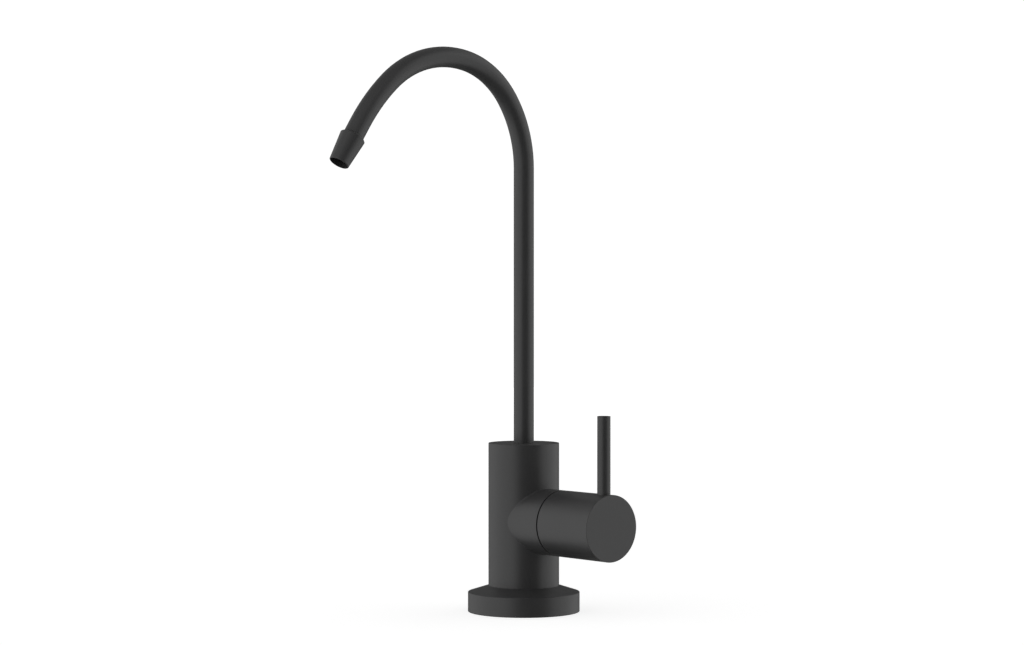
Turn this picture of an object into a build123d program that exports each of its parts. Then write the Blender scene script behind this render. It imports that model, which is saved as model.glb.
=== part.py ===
from build123d import *
from math import cos, radians, sin
import os

# Drinking water faucet with a gooseneck spout and a quarter-turn side handle.
# Millimetres. The origin is the centre of the base's underside, where it meets the worktop.
# +Z is up, the handle's axis runs along +X, and the spout reaches towards -Y, the user's side.

# Clearances, each used by every fit of its kind
RUNNING = 0.05          # radial gap of a part that turns or slides in another
SLIP = 0.02             # radial gap of parts that are screwed, pushed or glued together
WATER_FILM = 0.02       # gap between the two ceramic discs, and of the discs' drive
END_PLAY = 0.1          # axial gap of a ring in its groove
SEAM = 0.8              # visible gap between the boss and the handle hub
EDGE_BREAK = 0.15       # small rounding of the turned edges
CUT_MARGIN = 1.0        # how far a cutting shape runs past the piece that it cuts
O_RING_SPREAD = 1.1     # height of a squeezed O-ring over its section

# Base flange
FLANGE_RADIUS = 26.0
FLANGE_RIM_HEIGHT = 9.1
FLANGE_CONE_RISE = 3.0
GASKET_OUTER_RADIUS = 22.5
GASKET_WIDTH = 9.0
GASKET_THICKNESS = 2.5

# Valve body
BODY_RADIUS = 16.45
BODY_HEIGHT = 66.3
BOSS_HEIGHT = 30.6      # handle axis above the flange
BOSS_RADIUS = 15.2
BOSS_REACH = 26.4       # body axis to the boss's end face
BOSS_COUNTERBORE = 3.4
BOSS_BLEND = 0.4        # rounding where the boss leaves the upright
SUPPLY_DRILL_RADIUS = 2.0
SUPPLY_PORT_RADIUS = 3.0
OUTLET_DRILL_RADIUS = 1.8
DRILLING_WALL = 3.4     # metal left between the cartridge seat and the supply drilling
SOCKET_FLOOR_WALL = 3.0  # metal left between the cartridge bore and the spout socket

# Threaded shank and what hangs on it under the worktop
SHANK_RADIUS = 5.55
SHANK_BORE_RADIUS = 2.75
SHANK_ENGAGEMENT = 10.0
SHANK_DRILL_ROOM = 2.0
SHANK_BELOW_DECK = 60.0
SHANK_SEAL_SECTION = 1.8
DECK_GAP = 20.0         # worktop thickness that the hardware is stored at
RUBBER_WASHER_RADIUS = 15.0
RUBBER_WASHER_THICKNESS = 3.0
FLAT_WASHER_RADIUS = 14.0
FLAT_WASHER_THICKNESS = 1.5
LOCK_WASHER_RADIUS = 9.6
LOCK_WASHER_THICKNESS = 0.8
LOCK_TOOTH_COUNT = 12
LOCK_TOOTH_DEPTH = 1.6
LOCK_TOOTH_GAP = 10.0   # degrees between two teeth
NUT_ACROSS_FLATS = 17.5
NUT_HEIGHT = 6.0
NUT_CHAMFER = 1.0
WASHER_CLEARANCE = 0.3

# Push-fit inlet for the quarter-inch supply tube
INLET_TUBE_RADIUS = 3.25
CONNECTOR_RADIUS = 8.0
CONNECTOR_HEX = 18.0
CONNECTOR_THREAD_DEPTH = 10.0
CONNECTOR_WASHER_THICKNESS = 1.5
CONNECTOR_WEB = 3.0
CONNECTOR_WEB_HOLE_RADIUS = 2.4
TUBE_STOP_DEPTH = 4.0
INLET_SEAL_SECTION = 1.8
COLLET_WALL = 1.2
COLLET_SLEEVE = 6.0
COLLET_BARB_HEIGHT = 0.6
COLLET_BARB_LENGTH = 2.2
COLLET_BARB_LAND = 0.7
COLLET_SLOT_COUNT = 4
COLLET_SLOT_WIDTH = 1.0
COLLET_TRAVEL = 1.5
COLLET_RIM_RADIUS = 6.8
COLLET_RIM_THICKNESS = 1.2
COLLET_PLAY = 0.3       # room beyond each end of the collet's travel
CONNECTOR_LIP = 2.0

# Ceramic cartridge, inner end first
SEAL_THICKNESS = 2.6
SEAL_WALL = 3.5
FIXED_DISC_THICKNESS = 3.0
MOVING_DISC_THICKNESS = 3.0
DISC_RADIUS = 6.9
DISC_CENTRE_RADIUS = 2.5
DISC_PORT_RADIUS = 5.8
DISC_PORT_SPREAD = 76.0
DRIVE_WIDTH = 2.4
DRIVE_LENGTH = 11.0
DRIVE_DEPTH = 1.2
FOOT_RADIUS = 5.9
FOOT_LENGTH = 4.2
THRUST_WASHER_THICKNESS = 0.6
THRUST_WASHER_RADIUS = 6.6
BARREL_WALL = 1.0
BARREL_LENGTH = 10.9
BARREL_END_GAP = 1.2
BARREL_ROOM = 1.0       # water space round the barrel
WINDOW_WIDTH = 6.0
WINDOW_LENGTH = 2.6
LAND_LENGTH = 3.4
HOUSING_SEAL_SECTION = 1.6
THREAD_RADIUS = 10.5
THREAD_LENGTH = 5.5
HOUSING_FLANGE_RADIUS = 12.2
HOUSING_FLANGE_LENGTH = 1.5
HEX_ACROSS_FLATS = 19.0
HEX_LENGTH = 7.0
NOSE_RADIUS = 8.0
NOSE_WALL = 2.4
NOSE_LENGTH = 2.2
STEM_RADIUS = 3.9
STEM_SEAL_SECTION = 1.3
STEM_SEAL_OFFSET = 6.0  # stem O-ring behind the hex's outer face
STOP_LUG_SPREAD = 18.0
STOP_LUG_ANGLE = 225.0
STOP_LUG_GAP = 0.2
STOP_SLACK = 0.5        # degrees left at each stop
SNAP_RING_THICKNESS = 1.0
SNAP_RING_WIDTH = 3.2
SNAP_GROOVE_DEPTH = 0.7
SNAP_RING_OPENING = 70.0
HANDLE_TURN = 90.0

# Handle
HUB_LENGTH = 33.4
HUB_WALL = 3.5
HUB_HEAD_ROOM = 1.2
SKIRT_WALL = 1.3        # thin ring on the hub that closes the seam against splashes
SKIRT_CLEARANCE = 0.3
SKIRT_HEAD_ROOM = 0.7   # room between the skirt and the headwork's flange
SPINDLE_GRIP = 10.4
SPINDLE_FLAT = 0.9
SPINDLE_END_ROOM = 0.8
LEVER_RADIUS = 3.0
LEVER_INSET = 5.1       # lever axis behind the hub's end face
LEVER_REACH = 50.4      # handle axis to the lever's top
LEVER_SEAT_HEIGHT = 11.6
LEVER_STUB_RADIUS = 2.0
LEVER_STUB_LENGTH = 9.5
SCREW_RADIUS = 2.0
SCREW_LENGTH = 5.5
SCREW_KEY = 2.0
SCREW_KEY_DEPTH = 2.2

# Spout: a riser, four bends that tighten and open again, and a short straight end
TUBE_RADIUS = 4.7
TUBE_WALL = 0.8
TUBE_INSERTION = 8.4    # straight tube inside the body
RISER_LENGTH = 127.3    # straight tube above the body
BENDS = [(55.3, 35.5), (41.1, 42.8), (50.0, 53.2), (92.5, 15.5)]
SPOUT_END_LENGTH = 6.6
ADAPTER_BORE_RADIUS = 2.6
ADAPTER_SPIGOT_LENGTH = 8.0
ADAPTER_FLOOR_GAP = 0.7
SPOUT_SEAL_SECTION = 1.3
SPOUT_SEAL_OFFSETS = [2.4, 5.6]
CLIP_OFFSET = 7.6
CLIP_THICKNESS = 1.0
CLIP_REACH = 0.55
CLIP_DEPTH = 0.45
CLIP_CLEARANCE = 0.2    # room under the clip, in which the spout turns
CLIP_OPENING = 60.0
BEARING_OFFSET = 9.9
BEARING_LENGTH = 3.4
BEARING_WALL = 0.6
BEARING_SPLIT = 0.6
ADAPTER_LAND = 1.15     # metal between the bearing's groove and the tube's end

# Nozzle
NOZZLE_SHOULDER_RADIUS = 5.9
NOZZLE_SHOULDER_LENGTH = 1.2
NOZZLE_TAPER_LENGTH = 13.7
NOZZLE_MOUTH_RADIUS = 4.65
NOZZLE_BORE_RADIUS = 4.15
NOZZLE_SOCKET_DEPTH = 6.5
NOZZLE_LIP = 0.2

# Worked-out heights of the body and what stands on it
flange_top = FLANGE_RIM_HEIGHT + FLANGE_CONE_RISE
body_top = flange_top + BODY_HEIGHT
axis_height = flange_top + BOSS_HEIGHT
shank_top = flange_top + SHANK_ENGAGEMENT
barrel_outer_radius = DISC_RADIUS + RUNNING + BARREL_WALL
cartridge_bore_radius = barrel_outer_radius + BARREL_ROOM
socket_radius = TUBE_RADIUS + RUNNING
socket_floor = axis_height + cartridge_bore_radius + SOCKET_FLOOR_WALL
adapter_end = socket_floor + ADAPTER_FLOOR_GAP
clip_low = adapter_end + CLIP_OFFSET
bearing_low = adapter_end + BEARING_OFFSET
bearing_high = bearing_low + BEARING_LENGTH + 2 * END_PLAY
tube_end = bearing_high + ADAPTER_LAND

# Worked-out stations along the handle's axis, from the body's axis outwards
boss_floor = BOSS_REACH - BOSS_COUNTERBORE
thread_start = boss_floor - THREAD_LENGTH
land_start = thread_start - LAND_LENGTH
barrel_start = land_start - BARREL_LENGTH
seat = barrel_start - BARREL_END_GAP
fixed_disc_start = seat + SEAL_THICKNESS
moving_disc_start = fixed_disc_start + FIXED_DISC_THICKNESS + WATER_FILM
foot_start = moving_disc_start + MOVING_DISC_THICKNESS
foot_end = foot_start + FOOT_LENGTH
chamber_end = foot_end + THRUST_WASHER_THICKNESS + WATER_FILM
hex_start = boss_floor + HOUSING_FLANGE_LENGTH
hex_end = hex_start + HEX_LENGTH
nose_end = hex_end + NOSE_LENGTH
snap_groove_start = nose_end
hub_start = BOSS_REACH + SEAM
hub_end = hub_start + HUB_LENGTH
hub_floor = nose_end + SNAP_RING_THICKNESS + HUB_HEAD_ROOM
spindle_end = hub_floor + SPINDLE_GRIP
hub_bore_radius = BOSS_RADIUS - HUB_WALL
skirt_radius = hub_bore_radius + SKIRT_WALL
skirt_start = hex_start + SKIRT_HEAD_ROOM
lever_station = hub_end - LEVER_INSET
screw_station = hub_floor + SPINDLE_GRIP / 2

# Worked-out heights under the worktop
rubber_washer_low = -DECK_GAP - RUBBER_WASHER_THICKNESS
flat_washer_low = rubber_washer_low - FLAT_WASHER_THICKNESS
lock_washer_low = flat_washer_low - LOCK_WASHER_THICKNESS
nut_low = lock_washer_low - NUT_HEIGHT
connector_top = CONNECTOR_THREAD_DEPTH - SHANK_BELOW_DECK
connector_washer_low = -SHANK_BELOW_DECK - CONNECTOR_WASHER_THICKNESS
web_low = connector_washer_low - CONNECTOR_WEB
seal_room_top = web_low - TUBE_STOP_DEPTH
seal_room_low = seal_room_top - INLET_SEAL_SECTION - 2 * END_PLAY
collet_radius = INLET_TUBE_RADIUS + COLLET_WALL
collet_barb_radius = collet_radius + COLLET_BARB_HEIGHT
collet_top = seal_room_low - COLLET_TRAVEL - COLLET_PLAY
barb_low = collet_top - COLLET_BARB_LENGTH
lip_top = barb_low - COLLET_PLAY
connector_low = collet_top - COLLET_SLEEVE - CONNECTOR_LIP / 2
collet_low = connector_low - COLLET_TRAVEL - COLLET_PLAY - COLLET_RIM_THICKNESS

HANDLE_AXIS = Plane(origin=(0, 0, axis_height), x_dir=(0, 1, 0), z_dir=(1, 0, 0))


def disc(radius, low, high):
    """A plain round bar on the Z axis between two heights."""
    return Pos(0, 0, low) * Cylinder(radius, high - low, align=(Align.CENTER, Align.CENTER, Align.MIN))


def ring(outer, inner, low, high):
    """A round bar with a round hole through it."""
    return disc(outer, low, high) - disc(inner, low, high)


def hexagon(across_flats, low, high):
    """A six-sided bar on the Z axis."""
    face = RegularPolygon(across_flats / 2, 6, major_radius=False)
    return extrude(Pos(0, 0, low) * face, high - low)


def o_ring(inside, section, middle):
    """A rubber ring of round section that is squeezed flat on its inside and outside."""
    centre = inside + section / 2
    profile = Plane.XZ * Pos(centre, middle) * SlotOverall(section * O_RING_SPREAD, section, 90)
    return revolve(profile, Axis.Z)


def groove(outer, section, middle):
    """The ring that is cut away for an O-ring of the given section, from the outer radius inwards."""
    half = section * O_RING_SPREAD / 2 + END_PLAY
    return ring(outer + CUT_MARGIN, outer - section, middle - half, middle + half)


def sector(outer, inner, low, high, middle, spread):
    """The part of a ring that lies within half the spread, in degrees, of the middle angle."""
    edge = 2 * outer
    corners = [(0, 0)]
    for step in (-1, -0.5, 0, 0.5, 1):
        angle = radians(middle + step * spread / 2)
        corners.append((edge * cos(angle), edge * sin(angle)))
    wedge = extrude(Pos(0, 0, low) * Polygon(*corners, align=None), high - low)
    return ring(outer, inner, low, high) & wedge


def turned(points):
    """A solid turned on the Z axis from a closed outline of radius and height points."""
    outline = make_face(Plane.XZ * Polyline(*points, close=True))
    return revolve(outline, Axis.Z)


def along_handle(shape):
    """Moves a shape that was made on the Z axis onto the handle's axis."""
    return HANDLE_AXIS.location * shape


def rim_rounded(shape, axis, index, size):
    """Rounds the round edge that comes at the given place when the edges are sorted along the axis."""
    edges = shape.edges().filter_by(GeomType.CIRCLE).sort_by(axis)
    return fillet(edges[index], size)


# Base

def base_flange():
    """The round cover plate, with a shallow cone up to the body and a recess for its gasket."""
    hole = SHANK_RADIUS + WASHER_CLEARANCE
    plate = turned([
        (hole, 0),
        (FLANGE_RADIUS - EDGE_BREAK, 0),
        (FLANGE_RADIUS, EDGE_BREAK),
        (FLANGE_RADIUS, FLANGE_RIM_HEIGHT - EDGE_BREAK),
        (FLANGE_RADIUS - EDGE_BREAK, FLANGE_RIM_HEIGHT),
        (BODY_RADIUS, flange_top),
        (hole, flange_top),
    ])
    recess = ring(GASKET_OUTER_RADIUS + SLIP, GASKET_OUTER_RADIUS - GASKET_WIDTH - SLIP, 0, GASKET_THICKNESS)
    return plate - recess


def base_gasket():
    """The flat rubber ring that seals the flange to the worktop."""
    return ring(GASKET_OUTER_RADIUS, GASKET_OUTER_RADIUS - GASKET_WIDTH, 0, GASKET_THICKNESS)


# Valve body

def valve_body():
    """The upright body with its side boss, bored for the shank, the cartridge and the spout."""
    upright = disc(BODY_RADIUS, flange_top, body_top)
    upright = rim_rounded(upright, Axis.Z, -1, EDGE_BREAK)
    boss = along_handle(disc(BOSS_RADIUS, 0, BOSS_REACH))
    boss = rim_rounded(boss, Axis.X, -1, EDGE_BREAK / 2)
    tee = upright + boss
    tee = fillet(tee.edges().filter_by(GeomType.BSPLINE), BOSS_BLEND)
    shank_socket = disc(SHANK_RADIUS + SLIP, flange_top, shank_top + SHANK_DRILL_ROOM)
    seal_outer = SHANK_RADIUS + SLIP + SHANK_SEAL_SECTION + SLIP
    seal_recess = disc(seal_outer, flange_top, flange_top + SHANK_SEAL_SECTION * O_RING_SPREAD + END_PLAY)
    return tee - shank_socket - seal_recess - cartridge_bores() - spout_socket() - waterways()


def cartridge_bores():
    """The stepped bore that the cartridge screws into, with a mouth for its flange and the hub's skirt."""
    bore = disc(cartridge_bore_radius, seat, thread_start)
    thread = disc(THREAD_RADIUS + SLIP, thread_start, boss_floor)
    mouth = disc(HOUSING_FLANGE_RADIUS + SLIP, boss_floor, BOSS_REACH)
    skirt_room = disc(skirt_radius + SKIRT_CLEARANCE, skirt_start - SKIRT_CLEARANCE, BOSS_REACH)
    return along_handle(bore + thread + mouth + skirt_room)


def spout_socket():
    """The upright bore that the spout turns in, with the groove that its clip springs into."""
    bore = disc(socket_radius, socket_floor, body_top)
    clip_room = disc(socket_radius + CLIP_REACH, clip_low - END_PLAY, clip_low + CLIP_THICKNESS + END_PLAY)
    return bore + clip_room


def waterways():
    """The drillings from the shank to the cartridge seat, and from the cartridge to the spout."""
    supply_x = seat - DRILLING_WALL - SUPPLY_DRILL_RADIUS
    supply = Pos(supply_x, 0, 0) * disc(SUPPLY_DRILL_RADIUS, shank_top, axis_height)
    port = along_handle(disc(SUPPLY_PORT_RADIUS, supply_x, seat + CUT_MARGIN))
    low = Vector((barrel_start + land_start) / 2, 0, axis_height + barrel_outer_radius)
    high = Vector(0, 0, socket_floor + OUTLET_DRILL_RADIUS)
    slant = Plane(origin=low, z_dir=high - low).location * disc(OUTLET_DRILL_RADIUS, 0, (high - low).length)
    return supply + port + slant


# Shank and the hardware under the worktop

def threaded_shank():
    """The hollow brass stud that screws into the body and passes through the worktop."""
    stud = disc(SHANK_RADIUS, -SHANK_BELOW_DECK, shank_top)
    return stud - disc(SHANK_BORE_RADIUS, -SHANK_BELOW_DECK, shank_top)


def shank_seal():
    """The rubber ring round the shank, between the flange and the body."""
    middle = flange_top + SHANK_SEAL_SECTION * O_RING_SPREAD / 2
    return o_ring(SHANK_RADIUS + SLIP, SHANK_SEAL_SECTION, middle)


def rubber_washer():
    """The thick washer that bears on the worktop's underside."""
    return ring(RUBBER_WASHER_RADIUS, SHANK_RADIUS + WASHER_CLEARANCE, rubber_washer_low, -DECK_GAP)


def flat_washer():
    """The steel washer that spreads the nut's load."""
    return ring(FLAT_WASHER_RADIUS, SHANK_RADIUS + WASHER_CLEARANCE, flat_washer_low, rubber_washer_low)


def lock_washer():
    """The toothed washer under the nut."""
    washer = ring(LOCK_WASHER_RADIUS, SHANK_RADIUS + WASHER_CLEARANCE, lock_washer_low, flat_washer_low)
    pitch = 360 / LOCK_TOOTH_COUNT
    gap_inner = LOCK_WASHER_RADIUS - LOCK_TOOTH_DEPTH
    gap_outer = LOCK_WASHER_RADIUS + CUT_MARGIN
    for tooth in range(LOCK_TOOTH_COUNT):
        middle = tooth * pitch
        washer -= sector(gap_outer, gap_inner, lock_washer_low, flat_washer_low, middle, LOCK_TOOTH_GAP)
    return washer


def mounting_nut():
    """The brass nut that clamps the faucet to the worktop, with its corners turned off."""
    nut = hexagon(NUT_ACROSS_FLATS, nut_low, lock_washer_low)
    flat = NUT_ACROSS_FLATS / 2
    corner = flat / cos(radians(30))
    nut &= turned([
        (0, nut_low),
        (flat, nut_low),
        (corner + CUT_MARGIN, nut_low + NUT_CHAMFER),
        (corner + CUT_MARGIN, lock_washer_low - NUT_CHAMFER),
        (flat, lock_washer_low),
        (0, lock_washer_low),
    ])
    return nut - disc(SHANK_RADIUS + SLIP, nut_low, lock_washer_low)


# Push-fit inlet

def inlet_connector():
    """The plastic adapter that screws onto the shank and takes the supply tube."""
    hex_low = connector_washer_low - CONNECTOR_WEB
    shell = hexagon(CONNECTOR_HEX, hex_low, connector_top) + disc(CONNECTOR_RADIUS, connector_low, hex_low)
    thread = disc(SHANK_RADIUS + SLIP, connector_washer_low, connector_top)
    web_hole = disc(CONNECTOR_WEB_HOLE_RADIUS, web_low, connector_washer_low)
    pilot = disc(INLET_TUBE_RADIUS, seal_room_top, web_low)
    seal_room = disc(inlet_seal_outer() + SLIP, seal_room_low, seal_room_top)
    collet_room = disc(collet_barb_radius + RUNNING, lip_top, seal_room_low)
    mouth = disc(collet_radius + RUNNING, connector_low, lip_top)
    return shell - thread - web_hole - pilot - seal_room - collet_room - mouth


def inlet_seal_outer():
    """The outside radius of the supply tube's O-ring."""
    return INLET_TUBE_RADIUS + INLET_SEAL_SECTION


def connector_washer():
    """The flat rubber washer between the shank's end and the adapter."""
    return ring(SHANK_RADIUS - SLIP, SHANK_BORE_RADIUS, connector_washer_low, -SHANK_BELOW_DECK)


def inlet_o_ring():
    """The rubber ring that grips and seals the supply tube."""
    return o_ring(INLET_TUBE_RADIUS, INLET_SEAL_SECTION, (seal_room_low + seal_room_top) / 2)


def inlet_collet():
    """The slotted release collar that is pushed in to free the supply tube."""
    sleeve = disc(collet_radius, collet_low, collet_top)
    barb = turned([
        (0, barb_low),
        (collet_barb_radius, barb_low),
        (collet_barb_radius, barb_low + COLLET_BARB_LAND),
        (collet_radius, collet_top),
        (0, collet_top),
    ])
    rim = disc(COLLET_RIM_RADIUS, collet_low, collet_low + COLLET_RIM_THICKNESS)
    collet = sleeve + barb + rim - disc(INLET_TUBE_RADIUS, collet_low, collet_top)
    slot_low = lip_top - CONNECTOR_LIP / 2
    for turn in range(COLLET_SLOT_COUNT // 2):
        slot = Pos(0, 0, slot_low) * Box(
            2 * (collet_barb_radius + CUT_MARGIN), COLLET_SLOT_WIDTH, collet_top - slot_low,
            align=(Align.CENTER, Align.CENTER, Align.MIN),
        )
        collet -= Rot(0, 0, turn * 360 / COLLET_SLOT_COUNT) * slot
    return collet


# Cartridge

def cartridge_housing():
    """The brass headwork that screws into the boss and holds the discs and the spindle."""
    shell = disc(barrel_outer_radius, barrel_start, land_start)
    shell += disc(cartridge_bore_radius - SLIP, land_start, thread_start)
    shell += disc(THREAD_RADIUS, thread_start, boss_floor)
    shell += disc(HOUSING_FLANGE_RADIUS, boss_floor, hex_start)
    shell += hexagon(HEX_ACROSS_FLATS, hex_start, hex_end)
    nose = ring(NOSE_RADIUS, NOSE_RADIUS - NOSE_WALL, hex_end, nose_end)
    gap_spread = HANDLE_TURN + STOP_LUG_SPREAD + 2 * STOP_SLACK
    gap_middle = STOP_LUG_ANGLE + HANDLE_TURN / 2
    nose -= sector(NOSE_RADIUS + CUT_MARGIN, STEM_RADIUS, hex_end, nose_end, gap_middle, gap_spread)
    shell += nose
    shell -= disc(DISC_RADIUS + RUNNING, barrel_start, chamber_end)
    shell -= disc(STEM_RADIUS + RUNNING, chamber_end, hex_end)
    shell -= groove(cartridge_bore_radius, HOUSING_SEAL_SECTION, (land_start + thread_start) / 2)
    window_reach = 2 * (barrel_outer_radius + CUT_MARGIN)
    window = Pos(0, 0, foot_start) * Box(
        WINDOW_WIDTH, window_reach, WINDOW_LENGTH, align=(Align.CENTER, Align.CENTER, Align.MIN)
    )
    return along_handle(shell - window)


def cartridge_seal():
    """The thick rubber ring that presses the fixed disc away from the seat."""
    return along_handle(ring(SUPPLY_PORT_RADIUS + SEAL_WALL, SUPPLY_PORT_RADIUS, seat, fixed_disc_start))


def housing_o_ring():
    """The rubber ring in the headwork's land."""
    middle = (land_start + thread_start) / 2
    inside = cartridge_bore_radius - HOUSING_SEAL_SECTION
    return along_handle(o_ring(inside, HOUSING_SEAL_SECTION - SLIP, middle))


def fixed_disc():
    """The ceramic disc that stays still, with two kidney-shaped ports."""
    start = fixed_disc_start
    end = start + FIXED_DISC_THICKNESS
    disc_shape = disc(DISC_RADIUS, start, end)
    for side in (0, 180):
        disc_shape -= sector(DISC_PORT_RADIUS, DISC_CENTRE_RADIUS, start, end, side, DISC_PORT_SPREAD)
    return along_handle(disc_shape)


def moving_disc():
    """The ceramic disc that the spindle turns, with two cut-outs and a slot for the spindle's tongue."""
    disc_shape = disc(DISC_RADIUS - RUNNING, moving_disc_start, foot_start)
    rim = DISC_RADIUS + CUT_MARGIN
    for side in (90, 270):
        disc_shape -= sector(rim, DISC_CENTRE_RADIUS, moving_disc_start, foot_start, side, DISC_PORT_SPREAD)
    slot = Pos(0, 0, foot_start - DRIVE_DEPTH - WATER_FILM) * Box(
        2 * rim, DRIVE_WIDTH + 2 * WATER_FILM, DRIVE_DEPTH + WATER_FILM,
        align=(Align.CENTER, Align.CENTER, Align.MIN),
    )
    return along_handle(disc_shape - slot)


def cartridge_spindle():
    """The brass spindle, with its tongue, foot, O-ring groove, stop lug, clip groove and flat."""
    spindle = disc(FOOT_RADIUS, foot_start, foot_end) + disc(STEM_RADIUS, foot_end, spindle_end)
    tongue = Pos(0, 0, foot_start - DRIVE_DEPTH) * Box(
        DRIVE_LENGTH, DRIVE_WIDTH, DRIVE_DEPTH, align=(Align.CENTER, Align.CENTER, Align.MIN)
    )
    spindle += tongue
    spindle -= groove(STEM_RADIUS, STEM_SEAL_SECTION, hex_end - STEM_SEAL_OFFSET)
    spindle += sector(
        NOSE_RADIUS, STEM_RADIUS - CUT_MARGIN, hex_end + STOP_LUG_GAP, nose_end - STOP_LUG_GAP,
        STOP_LUG_ANGLE, STOP_LUG_SPREAD,
    )
    snap_groove_end = snap_groove_start + SNAP_RING_THICKNESS + 2 * END_PLAY
    spindle -= ring(
        STEM_RADIUS + CUT_MARGIN, STEM_RADIUS - SNAP_GROOVE_DEPTH, snap_groove_start, snap_groove_end
    )
    flat = Pos(0, SPINDLE_FLAT - STEM_RADIUS, hub_floor) * Box(
        2 * STEM_RADIUS, STEM_RADIUS, SPINDLE_GRIP, align=(Align.CENTER, Align.MAX, Align.MIN)
    )
    return along_handle(spindle - flat)


def thrust_washer():
    """The slippery washer between the spindle's foot and the headwork."""
    return along_handle(ring(THRUST_WASHER_RADIUS, STEM_RADIUS + RUNNING, foot_end + WATER_FILM, chamber_end))


def spindle_o_ring():
    """The rubber ring in the spindle's groove."""
    inside = STEM_RADIUS - STEM_SEAL_SECTION
    return along_handle(o_ring(inside, STEM_SEAL_SECTION, hex_end - STEM_SEAL_OFFSET))


def spindle_snap_ring():
    """The open steel ring that keeps the spindle from sliding inwards."""
    low = snap_groove_start + END_PLAY
    high = low + SNAP_RING_THICKNESS
    inner = STEM_RADIUS - SNAP_GROOVE_DEPTH + SLIP
    outer = inner + SNAP_RING_WIDTH
    clip = ring(outer, inner, low, high)
    clip -= sector(outer + CUT_MARGIN, inner - CUT_MARGIN, low, high, 90, SNAP_RING_OPENING)
    return along_handle(clip)


# Handle

def handle_hub():
    """The round hub with its skirt, hollow over the headwork, bored for spindle, lever and screw."""
    hub = along_handle(disc(BOSS_RADIUS, hub_start, hub_end))
    hub = rim_rounded(hub, Axis.X, -1, EDGE_BREAK)
    hub = rim_rounded(hub, Axis.X, 0, EDGE_BREAK / 2)
    hub -= along_handle(disc(hub_bore_radius, hub_start, hub_floor))
    hub += along_handle(ring(skirt_radius, hub_bore_radius, skirt_start, hub_start))
    hub -= along_handle(disc(STEM_RADIUS + SLIP, hub_floor, spindle_end + SPINDLE_END_ROOM))
    seat_height = axis_height + LEVER_SEAT_HEIGHT
    top = axis_height + BOSS_RADIUS + CUT_MARGIN
    hub -= Pos(lever_station, 0, 0) * disc(LEVER_RADIUS + SLIP, seat_height, top)
    stub_low = seat_height - LEVER_STUB_LENGTH - SLIP
    hub -= Pos(lever_station, 0, 0) * disc(LEVER_STUB_RADIUS + SLIP, stub_low, seat_height)
    bottom = axis_height - BOSS_RADIUS - CUT_MARGIN
    hub -= Pos(screw_station, 0, 0) * disc(SCREW_RADIUS + SLIP, bottom, axis_height)
    return hub


def lever_rod():
    """The plain round lever, with a thinner threaded end in the hub."""
    seat_height = axis_height + LEVER_SEAT_HEIGHT
    rod = disc(LEVER_RADIUS, seat_height, axis_height + LEVER_REACH)
    rod = rim_rounded(rod, Axis.Z, -1, EDGE_BREAK / 2)
    rod += disc(LEVER_STUB_RADIUS, seat_height - LEVER_STUB_LENGTH, seat_height)
    return Pos(lever_station, 0, 0) * rod


def hub_grub_screw():
    """The headless screw that holds the hub on the spindle's flat, with a hexagon key socket."""
    high = axis_height - STEM_RADIUS + SPINDLE_FLAT
    low = high - SCREW_LENGTH
    screw = disc(SCREW_RADIUS, low, high) - hexagon(SCREW_KEY, low, low + SCREW_KEY_DEPTH)
    return Pos(screw_station, 0, 0) * screw


# Spout

def spout_path():
    """The tube's centre line: straight up, then the bends towards the user, then a straight end."""
    riser = Line((0, 0, tube_end), (0, 0, tube_end + TUBE_INSERTION + RISER_LENGTH))
    runs = [riser]
    heading = 0.0
    for radius, turn in BENDS:
        start = runs[-1] @ 1
        up = Vector(0, -sin(radians(heading)), cos(radians(heading)))
        side = Vector(0, -cos(radians(heading)), -sin(radians(heading)))
        centre = start + side * radius
        middle = radians(turn / 2)
        whole = radians(turn)
        via = centre - side * (radius * cos(middle)) + up * (radius * sin(middle))
        end = centre - side * (radius * cos(whole)) + up * (radius * sin(whole))
        runs.append(ThreePointArc(start, via, end))
        heading += turn
    way_out = Vector(0, -sin(radians(heading)), cos(radians(heading)))
    start = runs[-1] @ 1
    visible_end = start + way_out * SPOUT_END_LENGTH
    runs.append(Line(start, visible_end + way_out * NOZZLE_SOCKET_DEPTH))
    return Wire(runs), visible_end, way_out


def spout_tube(path):
    """The bent tube."""
    start = Plane(origin=(0, 0, tube_end))
    outer = sweep(start * Circle(TUBE_RADIUS), path=path)
    inner = sweep(start * Circle(TUBE_RADIUS - TUBE_WALL), path=path)
    return outer - inner


def spout_nozzle(place, way_out):
    """The tapered outlet that is fixed over the tube's end."""
    length = NOZZLE_SHOULDER_LENGTH + NOZZLE_TAPER_LENGTH
    socket = TUBE_RADIUS + SLIP
    shell = turned([
        (socket, 0),
        (NOZZLE_SHOULDER_RADIUS, NOZZLE_SHOULDER_LENGTH),
        (NOZZLE_MOUTH_RADIUS, length - NOZZLE_LIP),
        (NOZZLE_MOUTH_RADIUS - NOZZLE_LIP, length),
        (NOZZLE_BORE_RADIUS, length),
        (NOZZLE_BORE_RADIUS, NOZZLE_SOCKET_DEPTH),
        (socket, NOZZLE_SOCKET_DEPTH),
    ])
    return Plane(origin=place, x_dir=(1, 0, 0), z_dir=way_out).location * shell


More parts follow.
